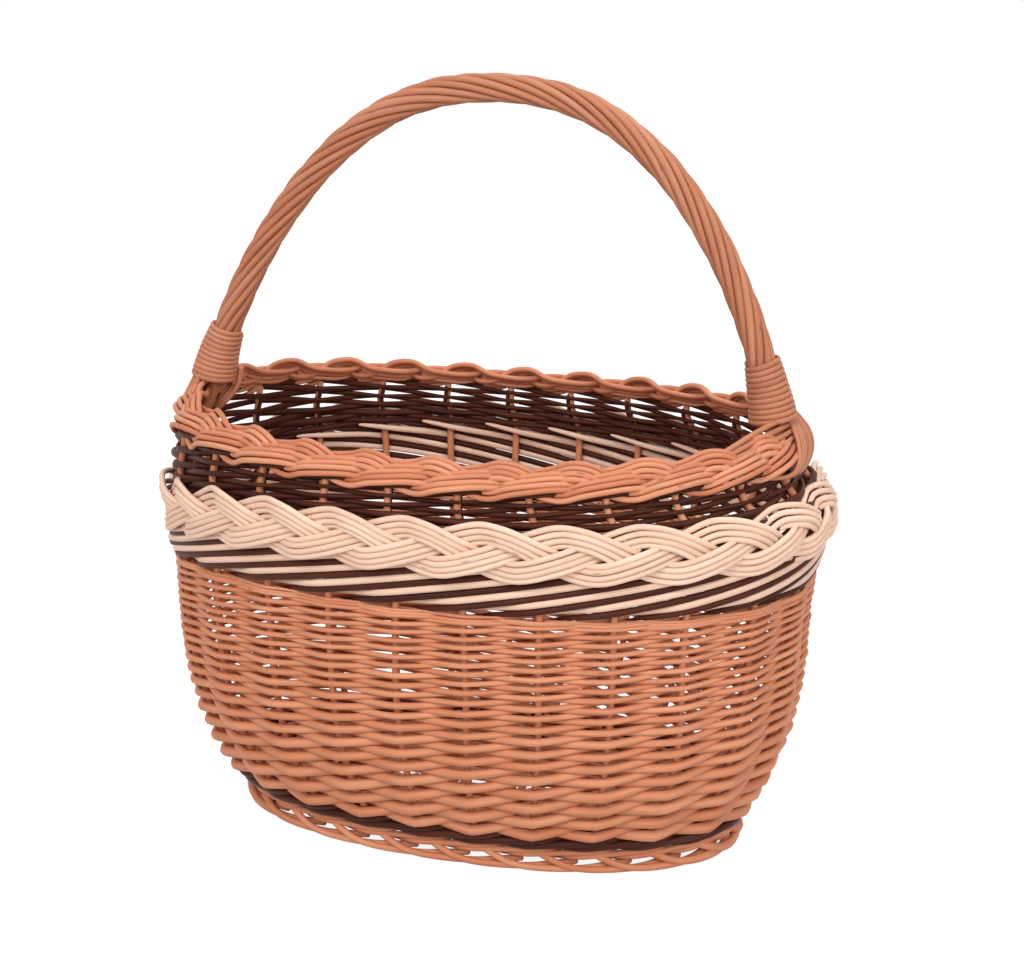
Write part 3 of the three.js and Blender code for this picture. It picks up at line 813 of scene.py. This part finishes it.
def add_floor():
    """A level matt floor that looks white and keeps part of the shadow on it."""
    finish = bpy.data.materials.new("pale_matt_floor")
    finish.use_nodes = True
    tree = finish.node_tree
    tree.nodes.clear()
    share = node(tree, "ShaderNodeMath", {0: plainly_seen(tree), 1: FLOOR_GLOW_SHARE},
                 operation="MULTIPLY").outputs[0]
    matt = node(tree, "ShaderNodeBsdfDiffuse", {"Color": linear("#C2C2C2")}).outputs[0]
    white = node(tree, "ShaderNodeEmission", {"Color": (1, 1, 1, 1), "Strength": FLOOR_GLOW}).outputs[0]
    look = node(tree, "ShaderNodeMixShader", {0: share, 1: matt, 2: white}).outputs[0]
    node(tree, "ShaderNodeOutputMaterial", {"Surface": look})
    mesh = bpy.data.meshes.new("floor")
    corners = [(x * FLOOR_HALF, y * FLOOR_HALF, 0) for x, y in ((-1, -1), (1, -1), (1, 1), (-1, 1))]
    mesh.from_pydata(corners, [], [(0, 1, 2, 3)])
    mesh.materials.append(finish)
    floor = bpy.data.objects.new("floor", mesh)
    bpy.context.scene.collection.objects.link(floor)


def add_sky():
    """An even white sky, white where it is seen and weaker as a light."""
    world = bpy.data.worlds.new("studio")
    bpy.context.scene.world = world
    world.use_nodes = True
    tree = world.node_tree
    tree.nodes.clear()
    strength = node(tree, "ShaderNodeMapRange", {
        "Value": plainly_seen(tree), "To Min": SKY_LIGHT, "To Max": SKY_SEEN}).outputs[0]
    light = node(tree, "ShaderNodeBackground", {"Color": (1, 1, 1, 1), "Strength": strength}).outputs[0]
    node(tree, "ShaderNodeOutputWorld", {"Surface": light})


def add_lamp(name, place, size, watts):
    """A square soft lamp that faces the middle of the basket."""
    lamp = bpy.data.lights.new(name, "AREA")
    lamp.size = size
    lamp.energy = watts
    made = bpy.data.objects.new(name, lamp)
    made.location = place
    made.rotation_euler = (LAMP_AIM - Vector(place)).to_track_quat("-Z", "Y").to_euler()
    bpy.context.scene.collection.objects.link(made)


add_floor()
add_sky()
add_lamp("key", (-0.6, -2.2, 1.9), size=1.6, watts=40)
add_lamp("fill", (1.9, -1.5, 1.3), size=1.4, watts=26)
add_lamp("top", (0.2, 0.5, 2.4), size=1.8, watts=21)

# Camera: fitted to the outline of the basket in the photograph's frame, 1024 by 954 pixels
FRAME_WIDTH_PX = 1024
FOCAL_PX = 2268.7
SENSOR_WIDTH = 36.0
AZIMUTH = math.radians(16.78)
ELEVATION = math.radians(16.77)
ROLL = math.radians(0.34)
DISTANCE = 1.3891
AIM = Vector((0.01305, 0.0, 0.22096))
back = Vector((math.sin(AZIMUTH) * math.cos(ELEVATION), -math.cos(AZIMUTH) * math.cos(ELEVATION),
               math.sin(ELEVATION)))
lens = bpy.data.cameras.new("camera")
lens.sensor_fit = "HORIZONTAL"
lens.sensor_width = SENSOR_WIDTH
lens.lens = SENSOR_WIDTH * FOCAL_PX / FRAME_WIDTH_PX
camera = bpy.data.objects.new("camera", lens)
turned = back.to_track_quat("Z", "Y").to_matrix().to_4x4() @ Matrix.Rotation(ROLL, 4, "Z")
camera.matrix_world = Matrix.Translation(AIM + back * DISTANCE) @ turned
bpy.context.scene.collection.objects.link(camera)
bpy.context.scene.camera = camera
bpy.context.scene.view_settings.view_transform = "Standard"
